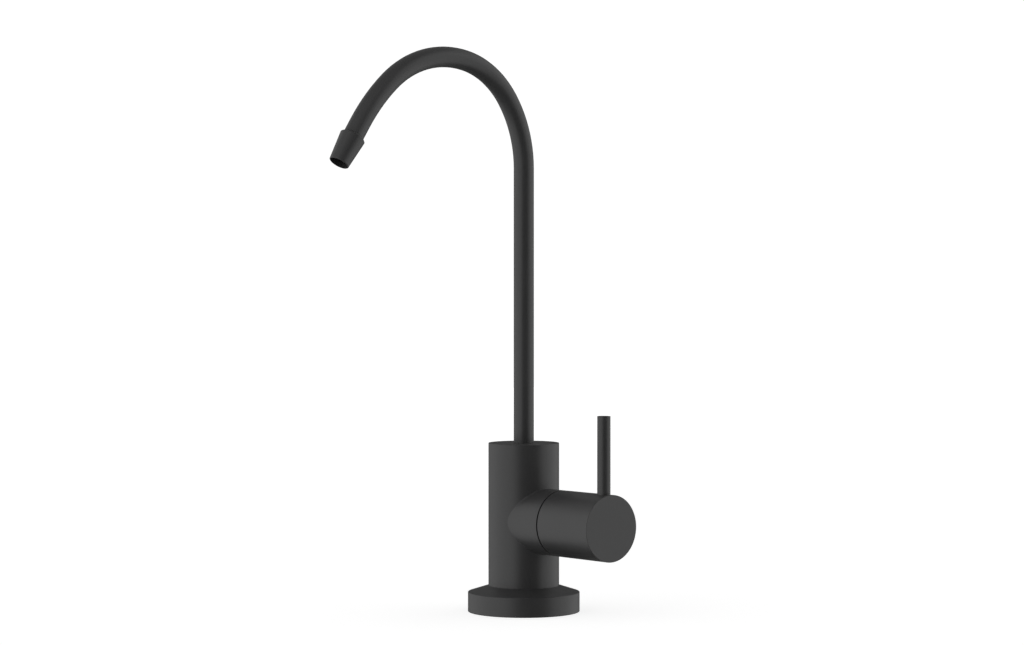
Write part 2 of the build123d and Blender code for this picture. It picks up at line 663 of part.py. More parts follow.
def spout_adapter():
    """The brass end that is brazed into the tube, grooved for its seals, clip and bearing."""
    spigot = TUBE_RADIUS - TUBE_WALL - SLIP
    end = disc(TUBE_RADIUS, adapter_end, tube_end) + disc(spigot, tube_end, tube_end + ADAPTER_SPIGOT_LENGTH)
    end -= disc(ADAPTER_BORE_RADIUS, adapter_end, tube_end + ADAPTER_SPIGOT_LENGTH)
    for offset in SPOUT_SEAL_OFFSETS:
        end -= groove(TUBE_RADIUS, SPOUT_SEAL_SECTION, adapter_end + offset)
    beyond = TUBE_RADIUS + CUT_MARGIN
    clip_bed = TUBE_RADIUS - CLIP_DEPTH - CLIP_CLEARANCE
    end -= ring(beyond, clip_bed, clip_low - END_PLAY, clip_low + CLIP_THICKNESS + END_PLAY)
    end -= ring(beyond, TUBE_RADIUS - BEARING_WALL, bearing_low, bearing_high)
    return end


def spout_o_rings():
    """The two rubber rings that seal the spout in the body."""
    inside = TUBE_RADIUS - SPOUT_SEAL_SECTION
    rings = [o_ring(inside, SPOUT_SEAL_SECTION, adapter_end + offset) for offset in SPOUT_SEAL_OFFSETS]
    return Compound(rings)


def spout_retaining_clip():
    """The open spring ring that sits in the body's groove and holds the spout down."""
    high = clip_low + CLIP_THICKNESS
    inner = TUBE_RADIUS - CLIP_DEPTH
    outer = socket_radius + CLIP_REACH - SLIP
    clip = ring(outer, inner, clip_low, high)
    return clip - sector(outer + CUT_MARGIN, inner - CUT_MARGIN, clip_low, high, 90, CLIP_OPENING)


def spout_bearing():
    """The split plastic sleeve that the spout turns on."""
    low = bearing_low + END_PLAY
    high = low + BEARING_LENGTH
    sleeve = ring(TUBE_RADIUS + SLIP / 2, TUBE_RADIUS - BEARING_WALL + SLIP / 2, low, high)
    split = Pos(0, TUBE_RADIUS, low) * Box(
        BEARING_SPLIT, TUBE_RADIUS, BEARING_LENGTH, align=(Align.CENTER, Align.CENTER, Align.MIN)
    )
    return sleeve - split


path, visible_end, way_out = spout_path()

nodes = {
    "base_flange": base_flange(),
    "base_gasket": base_gasket(),
    "valve_body": valve_body(),
    "threaded_shank": threaded_shank(),
    "shank_o_ring": shank_seal(),
    "under_deck_rubber_washer": rubber_washer(),
    "under_deck_flat_washer": flat_washer(),
    "lock_washer": lock_washer(),
    "mounting_nut": mounting_nut(),
    "inlet_connector": inlet_connector(),
    "connector_washer": connector_washer(),
    "inlet_o_ring": inlet_o_ring(),
    "inlet_collet": inlet_collet(),
    "cartridge_housing": cartridge_housing(),
    "cartridge_seal": cartridge_seal(),
    "housing_o_ring": housing_o_ring(),
    "fixed_ceramic_disc": fixed_disc(),
    "moving_ceramic_disc": moving_disc(),
    "cartridge_spindle": cartridge_spindle(),
    "thrust_washer": thrust_washer(),
    "spindle_o_ring": spindle_o_ring(),
    "spindle_snap_ring": spindle_snap_ring(),
    "handle_hub": handle_hub(),
    "lever_rod": lever_rod(),
    "hub_grub_screw": hub_grub_screw(),
    "spout_tube": spout_tube(path),
    "spout_nozzle": spout_nozzle(visible_end, way_out),
    "spout_adapter": spout_adapter(),
    "spout_o_rings": spout_o_rings(),
    "spout_retaining_clip": spout_retaining_clip(),
    "spout_bearing": spout_bearing(),
}

os.makedirs("parts", exist_ok=True)
for name, shape in nodes.items():
    export_step(shape, f"parts/{name}.step")
    print(name, round(shape.volume, 1))
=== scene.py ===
from math import cos, hypot, radians, sin, tau

import bmesh
import bpy
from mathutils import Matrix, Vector


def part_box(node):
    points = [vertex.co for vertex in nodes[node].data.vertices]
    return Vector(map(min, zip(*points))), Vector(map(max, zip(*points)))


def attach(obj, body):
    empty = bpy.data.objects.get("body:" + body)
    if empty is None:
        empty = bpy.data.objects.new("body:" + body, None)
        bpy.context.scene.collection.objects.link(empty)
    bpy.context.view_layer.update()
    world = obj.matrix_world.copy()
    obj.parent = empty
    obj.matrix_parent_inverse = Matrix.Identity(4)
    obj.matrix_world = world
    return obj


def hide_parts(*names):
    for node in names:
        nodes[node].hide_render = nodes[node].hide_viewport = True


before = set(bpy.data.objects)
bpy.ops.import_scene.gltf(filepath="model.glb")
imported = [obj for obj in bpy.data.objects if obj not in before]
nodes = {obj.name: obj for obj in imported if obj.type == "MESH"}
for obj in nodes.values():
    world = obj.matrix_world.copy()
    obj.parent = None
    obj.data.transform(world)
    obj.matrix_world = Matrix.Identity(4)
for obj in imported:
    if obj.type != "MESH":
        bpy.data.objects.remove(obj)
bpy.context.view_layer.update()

scene = bpy.context.scene

# Base flange
# The round cover plate that stands on the worktop, turned from brass and powder coated matte black.
# The coat has a fine, even grain, slow changes of thickness and a trace of dust where it faces up.


def add(tree, kind, values, **settings):
    """Adds a node with its settings. The values are constants or links for its inputs."""
    node = tree.nodes.new(kind)
    for key, value in settings.items():
        setattr(node, key, value)
    for key, value in values.items():
        if isinstance(value, bpy.types.NodeSocket):
            tree.links.new(value, node.inputs[key])
        else:
            node.inputs[key].default_value = value
    return node


def start_group(name, inputs, outputs):
    """Starts a node group, and returns its tree, its input node and its output node."""
    tree = bpy.data.node_groups.new(name, "ShaderNodeTree")
    for socket, kind in inputs.items():
        tree.interface.new_socket(name=socket, in_out="INPUT", socket_type=kind)
    for socket in outputs:
        tree.interface.new_socket(name=socket, in_out="OUTPUT", socket_type="NodeSocketFloat")
    return tree, tree.nodes.new("NodeGroupInput"), tree.nodes.new("NodeGroupOutput")


GRAIN_DETAIL = 2.0
GRAIN_SOFTNESS = 0.55
BROAD_SHARE = 0.03
BROAD_DETAIL = 3.0
BROAD_SOFTNESS = 0.6


def fine_grain_group():
    """Even grain of a coat or a moulding: Fine follows single grains, Broad follows slow changes."""
    inputs = {"Place": "NodeSocketVector", "Grains per metre": "NodeSocketFloat"}
    tree, given, result = start_group("fine_grain", inputs, ["Fine", "Broad"])
    size = given.outputs["Grains per metre"]
    fine = add(tree, "ShaderNodeTexNoise", {
        "Vector": given.outputs["Place"], "Scale": size, "Detail": GRAIN_DETAIL, "Roughness": GRAIN_SOFTNESS,
    })
    slow = add(tree, "ShaderNodeMath", {0: size, 1: BROAD_SHARE}, operation="MULTIPLY")
    broad = add(tree, "ShaderNodeTexNoise", {
        "Vector": given.outputs["Place"], "Scale": slow.outputs[0],
        "Detail": BROAD_DETAIL, "Roughness": BROAD_SOFTNESS,
    })
    tree.links.new(fine.outputs["Fac"], result.inputs["Fine"])
    tree.links.new(broad.outputs["Fac"], result.inputs["Broad"])
    return tree


DUST_STARTS_AT = 0.55
DUST_PATCHES_PER_METRE = 260.0
DUST_DETAIL = 5.0
DUST_SOFTNESS = 0.7


def settled_dust_group():
    """A thin, patchy film on faces that look up."""
    tree, given, result = start_group("settled_dust", {"Place": "NodeSocketVector"}, ["Amount"])
    facing = add(tree, "ShaderNodeNewGeometry", {})
    parts = add(tree, "ShaderNodeSeparateXYZ", {"Vector": facing.outputs["Normal"]})
    upward = add(tree, "ShaderNodeMapRange", {
        "Value": parts.outputs["Z"], "From Min": DUST_STARTS_AT, "From Max": 1.0,
        "To Min": 0.0, "To Max": 1.0,
    }, interpolation_type="SMOOTHSTEP")
    patches = add(tree, "ShaderNodeTexNoise", {
        "Vector": given.outputs["Place"], "Scale": DUST_PATCHES_PER_METRE,
        "Detail": DUST_DETAIL, "Roughness": DUST_SOFTNESS,
    })
    amount = add(tree, "ShaderNodeMath", {
        0: upward.outputs["Result"], 1: patches.outputs["Fac"],
    }, operation="MULTIPLY")
    tree.links.new(amount.outputs[0], result.inputs["Amount"])
    return tree


fine_grain = fine_grain_group()
settled_dust = settled_dust_group()


def start_material(name):
    """Starts a node material, and returns it with its tree, its shader and its object coordinates."""
    material = bpy.data.materials.new(name)
    material.use_nodes = True
    tree = material.node_tree
    place = add(tree, "ShaderNodeTexCoord", {}).outputs["Object"]
    return material, tree, tree.nodes["Principled BSDF"], place


def use_group(tree, group, values):
    """Puts a node group into a material."""
    node = tree.nodes.new("ShaderNodeGroup")
    node.node_tree = group
    for key, value in values.items():
        if isinstance(value, bpy.types.NodeSocket):
            tree.links.new(value, node.inputs[key])
        else:
            node.inputs[key].default_value = value
    return node


def blend_colour(tree, amount, low, high):
    """A colour that goes from low to high as the amount goes from 0 to 1."""
    mix = add(tree, "ShaderNodeMix", {0: amount}, data_type="RGBA")
    for index, colour in ((6, low), (7, high)):
        if isinstance(colour, bpy.types.NodeSocket):
            tree.links.new(colour, mix.inputs[index])
        else:
            mix.inputs[index].default_value = (*colour, 1.0)
    return mix.outputs[2]


NOISE_LOW, NOISE_HIGH = 0.3, 0.7


def spread(tree, value, low, high):
    """Stretches a noise value, which stays near one half, over a range."""
    node = add(tree, "ShaderNodeMapRange", {
        "Value": value, "From Min": NOISE_LOW, "From Max": NOISE_HIGH, "To Min": low, "To Max": high,
    })
    return node.outputs["Result"]


def calc(tree, operation, *values):
    """A maths node's result."""
    return add(tree, "ShaderNodeMath", dict(enumerate(values)), operation=operation).outputs[0]


def raise_surface(tree, shader, height, strength, distance):
    """Gives the shader a bump of the given depth in metres."""
    bump = add(tree, "ShaderNodeBump", {"Height": height, "Strength": strength, "Distance": distance})
    tree.links.new(bump.outputs["Normal"], shader.inputs["Normal"])


COAT_DEEP = (0.0335, 0.0335, 0.0340)
COAT_RAISED = (0.0395, 0.0395, 0.0400)
COAT_THICK = (0.0410, 0.0410, 0.0415)
COAT_THICK_SHARE = 0.5
COAT_GRAINS_PER_METRE = 2600.0
COAT_SMOOTH, COAT_ROUGH = 0.35, 0.41
COAT_SPECULAR = 0.5
COAT_BUMP, COAT_BUMP_DEPTH = 0.12, 0.00003
DUST = (0.30, 0.29, 0.28)
DUST_SHARE = 0.03


def black_coating_material():
    """Matte black powder coat."""
    material, tree, shader, place = start_material("black_coating")
    grain = use_group(tree, fine_grain, {"Place": place, "Grains per metre": COAT_GRAINS_PER_METRE})
    dust = use_group(tree, settled_dust, {"Place": place})
    grained = blend_colour(tree, spread(tree, grain.outputs["Fine"], 0.0, 1.0), COAT_DEEP, COAT_RAISED)
    thickness = spread(tree, grain.outputs["Broad"], 0.0, COAT_THICK_SHARE)
    tone = blend_colour(tree, thickness, grained, COAT_THICK)
    thin = calc(tree, "MULTIPLY", dust.outputs["Amount"], DUST_SHARE)
    tree.links.new(blend_colour(tree, thin, tone, DUST), shader.inputs["Base Color"])
    tree.links.new(spread(tree, grain.outputs["Broad"], COAT_SMOOTH, COAT_ROUGH), shader.inputs["Roughness"])
    shader.inputs["Specular IOR Level"].default_value = COAT_SPECULAR
    raise_surface(tree, shader, grain.outputs["Fine"], COAT_BUMP, COAT_BUMP_DEPTH)
    return material


black_coating = black_coating_material()


def dress(node, material):
    """Gives a node of the frame its material."""
    piece = nodes[node]
    piece.data.materials.clear()
    piece.data.materials.append(material)


dress("base_flange", black_coating)

# Base gasket
# A flat ring cut from black rubber sheet, pressed into the recess under the flange.
# The sheet is dull and finely grained, with a pale bloom in patches.
RUBBER_BLACK = (0.020, 0.020, 0.021)
RUBBER_BLOOM = (0.075, 0.073, 0.070)
RUBBER_SPECK_LOW = 0.4
RUBBER_SPECULAR = 0.4
RUBBER_BUMP, RUBBER_BUMP_DEPTH = 0.35, 0.00006
SHEET_GRAINS_PER_METRE = 1800.0
SHEET_BLOOM_SHARE = 0.7
SHEET_SMOOTH, SHEET_ROUGH = 0.66, 0.82


def rubber_material(name, grains, bloom_share, smooth, rough):
    """Black rubber with a pale bloom, of a given grain and range of roughness."""
    material, tree, shader, place = start_material(name)
    grain = use_group(tree, fine_grain, {"Place": place, "Grains per metre": grains})
    patches = spread(tree, grain.outputs["Broad"], 0.0, bloom_share)
    specks = spread(tree, grain.outputs["Fine"], RUBBER_SPECK_LOW, 1.0)
    bloom = calc(tree, "MULTIPLY", patches, specks)
    tree.links.new(blend_colour(tree, bloom, RUBBER_BLACK, RUBBER_BLOOM), shader.inputs["Base Color"])
    tree.links.new(spread(tree, grain.outputs["Broad"], smooth, rough), shader.inputs["Roughness"])
    shader.inputs["Specular IOR Level"].default_value = RUBBER_SPECULAR
    raise_surface(tree, shader, grain.outputs["Fine"], RUBBER_BUMP, RUBBER_BUMP_DEPTH)
    return material


sheet_rubber = rubber_material(
    "sheet_rubber", SHEET_GRAINS_PER_METRE, SHEET_BLOOM_SHARE, SHEET_SMOOTH, SHEET_ROUGH
)
dress("base_gasket", sheet_rubber)

# Valve body
# The upright with its side boss, machined from one piece of brass and coated after drilling.
# It stands on the flange and carries the spout on top and the cartridge in the boss.
dress("valve_body", black_coating)

# Threaded shank
# A hollow stud turned from brass and screwed into the body, with a fine thread over its whole length,
# chamfered at both ends. The thread is bright on its crests and duller in its roots.
SHANK_LOW, SHANK_HIGH = (corner[2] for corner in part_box("threaded_shank"))
SHANK_CREST = 0.00555
SHANK_ROOT = 0.00482
SHANK_BORE = 0.00275
THREAD_PITCH = 0.00127
# Shares of one pitch, and the radius there: the flat root, the flank up to the crest and the flat crest
THREAD_PARTS = [(0.0, SHANK_ROOT), (0.12, SHANK_ROOT), (0.46, SHANK_CREST), (0.66, SHANK_CREST)]
TURN_STEPS = 48
END_CHAMFER = 0.0009
SPARE_TURNS = 2
WELD_DISTANCE = 0.000002
CUT_DISTANCE = 0.0000001
RIM_TOLERANCE = 0.000001


def mesh_object(name, bm, material):
    """Turns a bmesh into an object at the origin."""
    mesh = bpy.data.meshes.new(name)
    bm.to_mesh(mesh)
    bm.free()
    mesh.materials.append(material)
    made = bpy.data.objects.new(name, mesh)
    scene.collection.objects.link(made)
    return made


def threaded_bar(bm):
    """An open tube with a right-hand thread on its outside, cut level at both ends."""
    start = SHANK_LOW - THREAD_PITCH
    outline = [bm.verts.new((radius, 0.0, start + share * THREAD_PITCH)) for share, radius in THREAD_PARTS]
    outline.append(bm.verts.new((SHANK_ROOT, 0.0, start + THREAD_PITCH)))
    edges = [bm.edges.new(pair) for pair in zip(outline, outline[1:])]
    bmesh.ops.spin(
        bm, geom=outline + edges, cent=(0.0, 0.0, 0.0), axis=(0.0, 0.0, 1.0),
        dvec=(0.0, 0.0, THREAD_PITCH / TURN_STEPS), angle=tau, steps=TURN_STEPS,
    )
    one_turn = bm.verts[:] + bm.edges[:] + bm.faces[:]
    turns = int((SHANK_HIGH - SHANK_LOW) / THREAD_PITCH) + SPARE_TURNS
    for turn in range(1, turns):
        copied = bmesh.ops.duplicate(bm, geom=one_turn)["geom"]
        verts = [item for item in copied if isinstance(item, bmesh.types.BMVert)]
        bmesh.ops.translate(bm, verts=verts, vec=(0.0, 0.0, turn * THREAD_PITCH))
    bmesh.ops.remove_doubles(bm, verts=bm.verts[:], dist=WELD_DISTANCE)
    for height, up in ((SHANK_LOW, -1.0), (SHANK_HIGH, 1.0)):
        bmesh.ops.bisect_plane(
            bm, geom=bm.verts[:] + bm.edges[:] + bm.faces[:], dist=CUT_DISTANCE,
            plane_co=(0.0, 0.0, height), plane_no=(0.0, 0.0, up), clear_outer=True,
        )
    for vert in bm.verts:
        from_end = min(vert.co.z - SHANK_LOW, SHANK_HIGH - vert.co.z)
        radius = hypot(vert.co.x, vert.co.y)
        limit = SHANK_CREST - max(0.0, END_CHAMFER - from_end)
        if radius > limit:
            vert.co.x *= limit / radius
            vert.co.y *= limit / radius


def rim_at(bm, height):
    """The open edges that lie at a height."""
    return [
        edge for edge in bm.edges
        if edge.is_boundary and all(abs(vert.co.z - height) < RIM_TOLERANCE for vert in edge.verts)
    ]


def shank_mesh():
    """The stud: a threaded outside, a plain bore and two flat ends."""
    bm = bmesh.new()
    threaded_bar(bm)
    thread_rims = [rim_at(bm, height) for height in (SHANK_LOW, SHANK_HIGH)]
    bore = [bm.verts.new((SHANK_BORE, 0.0, height)) for height in (SHANK_LOW, SHANK_HIGH)]
    wall = bm.edges.new(bore)
    bmesh.ops.spin(
        bm, geom=bore + [wall], cent=(0.0, 0.0, 0.0), axis=(0.0, 0.0, 1.0),
        angle=tau, steps=TURN_STEPS, use_merge=True,
    )
    for height, thread_rim in zip((SHANK_LOW, SHANK_HIGH), thread_rims):
        known = set(thread_rim)
        bore_rim = [edge for edge in rim_at(bm, height) if edge not in known]
        bmesh.ops.bridge_loops(bm, edges=thread_rim + bore_rim)
    bmesh.ops.recalc_face_normals(bm, faces=bm.faces[:])
    return bm


BAND_SHARE = 0.08
RING_DETAIL = 3.0
BAND_DETAIL = 2.0
MARK_SOFTNESS = 0.65


def turning_marks_group():
    """Rings that the lathe left round the Z axis, and slower bands of brighter and duller metal."""
    inputs = {"Place": "NodeSocketVector", "Rings per metre": "NodeSocketFloat"}
    tree, given, result = start_group("turning_marks", inputs, ["Rings", "Bands"])
    parts = add(tree, "ShaderNodeSeparateXYZ", {"Vector": given.outputs["Place"]})
    squares = [calc(tree, "MULTIPLY", parts.outputs[way], parts.outputs[way]) for way in "XY"]
    radius = calc(tree, "SQRT", calc(tree, "ADD", *squares))
    across = add(tree, "ShaderNodeCombineXYZ", {"X": radius, "Y": 0.0, "Z": parts.outputs["Z"]})
    size = given.outputs["Rings per metre"]
    for socket, share, detail in (("Rings", 1.0, RING_DETAIL), ("Bands", BAND_SHARE, BAND_DETAIL)):
        scale = calc(tree, "MULTIPLY", size, share)
        noise = add(tree, "ShaderNodeTexNoise", {
            "Vector": across.outputs["Vector"], "Scale": scale, "Detail": detail, "Roughness": MARK_SOFTNESS,
        })
        tree.links.new(noise.outputs["Fac"], result.inputs[socket])
    return tree


turning_marks = turning_marks_group()
BRASS_BRIGHT = (0.80, 0.60, 0.30)
BRASS_DULL = (0.62, 0.44, 0.20)
BRASS_TARNISH = (0.36, 0.24, 0.11)
BRASS_TARNISH_SHARE = 0.35
BRASS_RINGS_PER_METRE = 5200.0
BRASS_GRAINS_PER_METRE = 3400.0
BRASS_SMOOTH, BRASS_ROUGH = 0.24, 0.38
BRASS_HAZE = 0.08
BRASS_BUMP, BRASS_BUMP_DEPTH = 0.3, 0.00004


def brass_material(name, turn=(0.0, 0.0, 0.0), shift=(0.0, 0.0, 0.0)):
    """Turned brass. Turn and shift bring the lathe's axis onto the Z axis."""
    material, tree, shader, place = start_material(name)
    centred = add(tree, "ShaderNodeMapping", {"Vector": place, "Rotation": turn, "Location": shift})
    marks = use_group(tree, turning_marks, {
        "Place": centred.outputs["Vector"], "Rings per metre": BRASS_RINGS_PER_METRE,
    })
    grain = use_group(tree, fine_grain, {"Place": place, "Grains per metre": BRASS_GRAINS_PER_METRE})
    banded = blend_colour(tree, spread(tree, marks.outputs["Bands"], 0.0, 1.0), BRASS_BRIGHT, BRASS_DULL)
    tarnish = spread(tree, grain.outputs["Broad"], 0.0, BRASS_TARNISH_SHARE)
    tree.links.new(blend_colour(tree, tarnish, banded, BRASS_TARNISH), shader.inputs["Base Color"])
    polish = spread(tree, marks.outputs["Rings"], BRASS_SMOOTH, BRASS_ROUGH)
    haze = spread(tree, grain.outputs["Broad"], 0.0, BRASS_HAZE)
    tree.links.new(calc(tree, "ADD", polish, haze), shader.inputs["Roughness"])
    shader.inputs["Metallic"].default_value = 1.0
    raise_surface(tree, shader, marks.outputs["Rings"], BRASS_BUMP, BRASS_BUMP_DEPTH)
    return material


turned_brass = brass_material("turned_brass")
shank = mesh_object("shank_with_thread", shank_mesh(), turned_brass)
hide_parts("threaded_shank")
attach(shank, "body")

# Shank O-ring
# A moulded rubber ring that is squeezed between the shank, the flange and the body.
# Moulded rubber is closer and a little glossier than sheet.
RING_GRAINS_PER_METRE = 2800.0
RING_BLOOM_SHARE = 0.35
RING_SMOOTH, RING_ROUGH = 0.48, 0.62
moulded_rubber = rubber_material(
    "moulded_rubber", RING_GRAINS_PER_METRE, RING_BLOOM_SHARE, RING_SMOOTH, RING_ROUGH
)
dress("shank_o_ring", moulded_rubber)

# Under-deck rubber washer
# A thick washer stamped from the same rubber sheet as the gasket. It bears on the worktop's underside.
dress("under_deck_rubber_washer", sheet_rubber)

# Under-deck flat washer
# A stainless washer that spreads the nut's load. It is punched from sheet and tumbled, which leaves
# fine rolling streaks all one way under a cloud of small random scratches.
STEEL_BRIGHT = (0.64, 0.64, 0.63)
STEEL_DULL = (0.50, 0.50, 0.50)
STREAK_STRETCH = 0.03
STREAKS_PER_METRE = 6500.0
STREAK_DETAIL = 3.0
STREAK_SOFTNESS = 0.6
HAZE_PER_METRE = 900.0
HAZE_DETAIL = 6.0
HAZE_SOFTNESS = 0.75
STEEL_BUMP, STEEL_BUMP_DEPTH = 0.2, 0.00002


def rolled_streaks_group():
    """Streaks of the rolling mill along X, crossed by the haze that tumbling leaves."""
    tree, given, result = start_group("rolled_streaks", {"Place": "NodeSocketVector"}, ["Streaks", "Haze"])
    drawn_out = add(tree, "ShaderNodeMapping", {
        "Vector": given.outputs["Place"], "Scale": (STREAK_STRETCH, 1.0, 1.0),
    })
    streaks = add(tree, "ShaderNodeTexNoise", {
        "Vector": drawn_out.outputs["Vector"], "Scale": STREAKS_PER_METRE,
        "Detail": STREAK_DETAIL, "Roughness": STREAK_SOFTNESS,
    })
    haze = add(tree, "ShaderNodeTexNoise", {
        "Vector": given.outputs["Place"], "Scale": HAZE_PER_METRE,
        "Detail": HAZE_DETAIL, "Roughness": HAZE_SOFTNESS,
    })
    tree.links.new(streaks.outputs["Fac"], result.inputs["Streaks"])
    tree.links.new(haze.outputs["Fac"], result.inputs["Haze"])
    return tree


rolled_streaks = rolled_streaks_group()


def steel_material(name, bright, dull, polished, worn):
    """Tumbled stainless steel between two tones and two degrees of roughness."""
    material, tree, shader, place = start_material(name)
    rolled = use_group(tree, rolled_streaks, {"Place": place})
    both = calc(tree, "MULTIPLY", calc(tree, "ADD", rolled.outputs["Streaks"], rolled.outputs["Haze"]), 0.5)
    tone = blend_colour(tree, spread(tree, both, 0.0, 1.0), bright, dull)
    tree.links.new(tone, shader.inputs["Base Color"])
    tree.links.new(spread(tree, rolled.outputs["Haze"], polished, worn), shader.inputs["Roughness"])
    shader.inputs["Metallic"].default_value = 1.0
    raise_surface(tree, shader, both, STEEL_BUMP, STEEL_BUMP_DEPTH)
    return material


WASHER_SMOOTH, WASHER_ROUGH = 0.27, 0.42
stamped_steel = steel_material("stamped_steel", STEEL_BRIGHT, STEEL_DULL, WASHER_SMOOTH, WASHER_ROUGH)
dress("under_deck_flat_washer", stamped_steel)

# Lock washer
# A toothed spring steel washer that bites into the nut and the flat washer. Each tooth is twisted,
# so that one corner stands up and the other hangs down. It is darker than the washers, from hardening.
LOCK_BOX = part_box("lock_washer")
LOCK_LOW, LOCK_HIGH = LOCK_BOX[0][2], LOCK_BOX[1][2]
LOCK_OUTER = LOCK_BOX[1][0]
LOCK_INNER = 0.00585
LOCK_TOOTH_LENGTH = 0.0016
LOCK_TOOTH_ROOT = LOCK_OUTER - LOCK_TOOTH_LENGTH
LOCK_TEETH = 12
LOCK_TOOTH_STEPS = 4
LOCK_SHEET = 0.0005


def lock_washer_mesh():
    """A thin ring with twisted teeth, one slice for each tooth and gap."""
    bm = bmesh.new()
    steps = LOCK_TEETH * (LOCK_TOOTH_STEPS + 1)
    radii = (LOCK_INNER, LOCK_TOOTH_ROOT, LOCK_OUTER)
    middle = (LOCK_LOW + LOCK_HIGH) / 2
    rows = [[] for _ in radii]
    for row, radius in zip(rows, radii):
        for step in range(steps):
            angle = (step + 0.5) / steps * tau
            row.append(bm.verts.new((radius * cos(angle), radius * sin(angle), middle)))
    lift = (LOCK_HIGH - LOCK_LOW - LOCK_SHEET) / 2
    for step in range(steps):
        after = (step + 1) % steps
        bm.faces.new((rows[0][step], rows[1][step], rows[1][after], rows[0][after]))
        place = step % (LOCK_TOOTH_STEPS + 1)
        rows[2][step].co.z += lift * (2 * place / LOCK_TOOTH_STEPS - 1)
        if place < LOCK_TOOTH_STEPS:
            bm.faces.new((rows[1][step], rows[2][step], rows[2][after], rows[1][after]))
    bmesh.ops.recalc_face_normals(bm, faces=bm.faces[:])
    bmesh.ops.solidify(bm, geom=bm.faces[:], thickness=LOCK_SHEET)
    bmesh.ops.recalc_face_normals(bm, faces=bm.faces[:])
    heights = [vert.co.z for vert in bm.verts]
    centre = (min(heights) + max(heights)) / 2
    fit = min(1.0, (LOCK_HIGH - LOCK_LOW) / (max(heights) - min(heights)))
    for vert in bm.verts:
        vert.co.z = middle + (vert.co.z - centre) * fit
        radius = hypot(vert.co.x, vert.co.y)
        kept = min(max(radius, LOCK_INNER), LOCK_OUTER)
        vert.co.x *= kept / radius
        vert.co.y *= kept / radius
    return bm


HARDENED_BRIGHT = (0.40, 0.39, 0.37)
HARDENED_DULL = (0.25, 0.24, 0.22)
HARDENED_SMOOTH, HARDENED_ROUGH = 0.30, 0.46
spring_steel = steel_material(
    "spring_steel", HARDENED_BRIGHT, HARDENED_DULL, HARDENED_SMOOTH, HARDENED_ROUGH
)
lock_ring = mesh_object("lock_ring_with_teeth", lock_washer_mesh(), spring_steel)
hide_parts("lock_washer")
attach(lock_ring, "body")

# Mounting nut
# A hexagon nut cut from drawn brass bar, chamfered on the lathe and threaded. It clamps the faucet down.
dress("mounting_nut", turned_brass)

# Inlet connector
# A white acetal moulding with a hexagon that screws onto the shank's end and takes the supply tube.
# Its mould was spark-eroded, which leaves a fine even texture with faint flow marks.
WHITE_ACETAL = (0.76, 0.76, 0.735)
WHITE_ACETAL_FLOW = (0.82, 0.82, 0.80)
WHITE_SMOOTH, WHITE_ROUGH = 0.36, 0.50
MOULD_GRAINS_PER_METRE = 2200.0
MOULD_SPECULAR = 0.45
MOULD_BUMP, MOULD_BUMP_DEPTH = 0.25, 0.00004


def moulded_material(name, plain, flow, smooth, rough):
    """A moulded plastic of two near tones, with a spark-eroded texture."""
    material, tree, shader, place = start_material(name)
    texture = use_group(tree, fine_grain, {"Place": place, "Grains per metre": MOULD_GRAINS_PER_METRE})
    flowing = spread(tree, texture.outputs["Broad"], 0.0, 1.0)
    tree.links.new(blend_colour(tree, flowing, plain, flow), shader.inputs["Base Color"])
    tree.links.new(spread(tree, texture.outputs["Fine"], smooth, rough), shader.inputs["Roughness"])
    shader.inputs["Specular IOR Level"].default_value = MOULD_SPECULAR
    raise_surface(tree, shader, texture.outputs["Fine"], MOULD_BUMP, MOULD_BUMP_DEPTH)
    return material


white_acetal = moulded_material(
    "white_acetal", WHITE_ACETAL, WHITE_ACETAL_FLOW, WHITE_SMOOTH, WHITE_ROUGH
)
dress("inlet_connector", white_acetal)

# Connector washer
# A small flat ring of rubber sheet between the shank's end and the connector.
dress("connector_washer", sheet_rubber)

# Inlet O-ring
# The moulded rubber ring that seals round the supply tube.
dress("inlet_o_ring", moulded_rubber)

# Inlet collet
# The grey acetal release collar, slotted so that its barbs spring. It is pushed in by hand.
GREY_ACETAL = (0.255, 0.265, 0.275)
GREY_ACETAL_FLOW = (0.310, 0.320, 0.330)
GREY_SMOOTH, GREY_ROUGH = 0.34, 0.48
grey_acetal = moulded_material("grey_acetal", GREY_ACETAL, GREY_ACETAL_FLOW, GREY_SMOOTH, GREY_ROUGH)
dress("inlet_collet", grey_acetal)

# Cartridge housing
# The headwork, turned from brass on the handle's axis, with a hexagon milled for the key.
# It screws into the boss and holds the discs and the spindle.
HUB_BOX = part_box("handle_hub")
handle_height = (HUB_BOX[0][2] + HUB_BOX[1][2]) / 2
QUARTER_TURN = radians(90.0)
cartridge_brass = brass_material("cartridge_brass", (0.0, -QUARTER_TURN, 0.0), (handle_height, 0.0, 0.0))
dress("cartridge_housing", cartridge_brass)

# Cartridge seal
# The thick moulded ring that presses the fixed disc from behind.
dress("cartridge_seal", moulded_rubber)

# Housing O-ring
# The moulded ring in the headwork's groove.
dress("housing_o_ring", moulded_rubber)

# Ceramic discs
# Two alumina discs, pressed, fired and lapped until their faces seal. One stays still and the spindle
# turns the other. The fired sides are a little rougher and creamier than the lapped faces.
ALUMINA_LAPPED = (0.86, 0.845, 0.81)
ALUMINA_FIRED = (0.80, 0.77, 0.70)
ALUMINA_GRAINS_PER_METRE = 5200.0
ALUMINA_CLOUD_SHARE = 0.5
ALUMINA_SMOOTH, ALUMINA_ROUGH = 0.12, 0.20
ALUMINA_FIRED_ROUGHER = 0.28
ALUMINA_SPECULAR = 0.6
ALUMINA_BUMP, ALUMINA_BUMP_DEPTH = 0.1, 0.00001
END_FACE_FROM = 0.9


